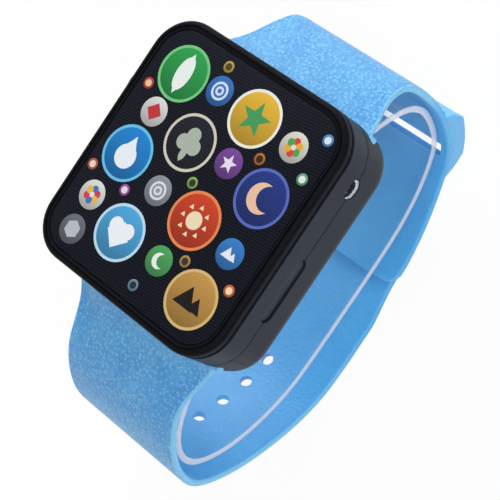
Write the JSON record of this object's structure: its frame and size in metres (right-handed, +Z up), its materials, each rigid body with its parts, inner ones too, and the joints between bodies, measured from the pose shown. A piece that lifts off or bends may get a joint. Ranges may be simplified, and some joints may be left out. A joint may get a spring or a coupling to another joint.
{
  "type": "toy watch",
  "caption": "Toy watch with a press-down screen in a dark square case, a blue soft strap closed in a loop, a red lamp and a clear display collar.",
  "frame": {"origin": "on the surface that the strap stands on, under the middle of the case", "axes": "+Z up out of the screen, +Y towards 12 o'clock, +X towards the side button"},
  "size_m": [0.0425, 0.0712, 0.0512],
  "materials": {
    "slate_shell": "smooth satin, moulded",
    "black_rim": "satin black, moulded",
    "screen_print": "printed picture under ribbed clear plastic",
    "button_plastic": "satin dark plastic",
    "blue_strap": "soft strap with a fine pebbled grain, slightly translucent",
    "clear_sheet": "clear sheet",
    "clear_lamp": "clear",
    "red_lamp": "red, clear",
    "dome_rubber": "soft grey",
    "board_green": "green lacquer",
    "black_resin": "resin",
    "ceramic": "fired ceramic",
    "bright_steel": "plated",
    "magnet": "plated dark grey",
    "brass_spring": "bright",
    "wire_red": "red sleeve"
  },
  "bodies": {
    "case": {"front_shell": "slate_shell", "back_shell": "slate_shell", "screen_dome": "dome_rubber", "side_switch": "bright_steel", "lamp_clear": "clear_lamp", "lamp_red": "red_lamp", "strap_upper": "blue_strap", "strap_lower": "blue_strap", "circuit_board": "board_green", "chip_blob": "black_resin", "board_resistors": "black_resin", "board_capacitors": "ceramic", "board_screws": "bright_steel", "speaker_basket": "bright_steel", "speaker_magnet": "magnet", "speaker_cone": "black_resin", "speaker_leads": "wire_red", "button_cell_1": "bright_steel", "button_cell_2": "bright_steel", "button_cell_3": "bright_steel", "positive_contact": "brass_spring", "negative_contact": "brass_spring", "cell_link": "brass_spring", "door_link": "brass_spring", "case_screws": "bright_steel"},
    "touch": {"touch_frame": "black_rim", "screen_panel": "screen_print"},
    "button": {"side_button": "button_plastic", "side_switch_plunger": "button_plastic"},
    "hatch": {"battery_door": "slate_shell", "door_screw": "bright_steel"},
    "collar": {"display_collar": "clear_sheet"}
  },
  "joints": [
    {"name": "screen_press", "type": "slide", "parent": "case", "child": "touch", "axis": [0, 0, -1], "range_m": [0, 0.0005], "stiffness_N_per_m": 3000, "deforming": ["screen_dome"]},
    {"name": "side_button_press", "type": "slide", "parent": "case", "child": "button", "axis": [-1, 0, 0], "range_m": [0, 0.0005], "stiffness_N_per_m": 3000},
    {"name": "battery_door_lift", "type": "slide", "parent": "case", "child": "hatch", "axis": [0, 0, -1], "range_m": [0, 0.006]},
    {"name": "collar_slide", "type": "slide", "parent": "case", "child": "collar", "axis": [1, 0, 0], "range_m": [0, 0.03]}
  ]
}
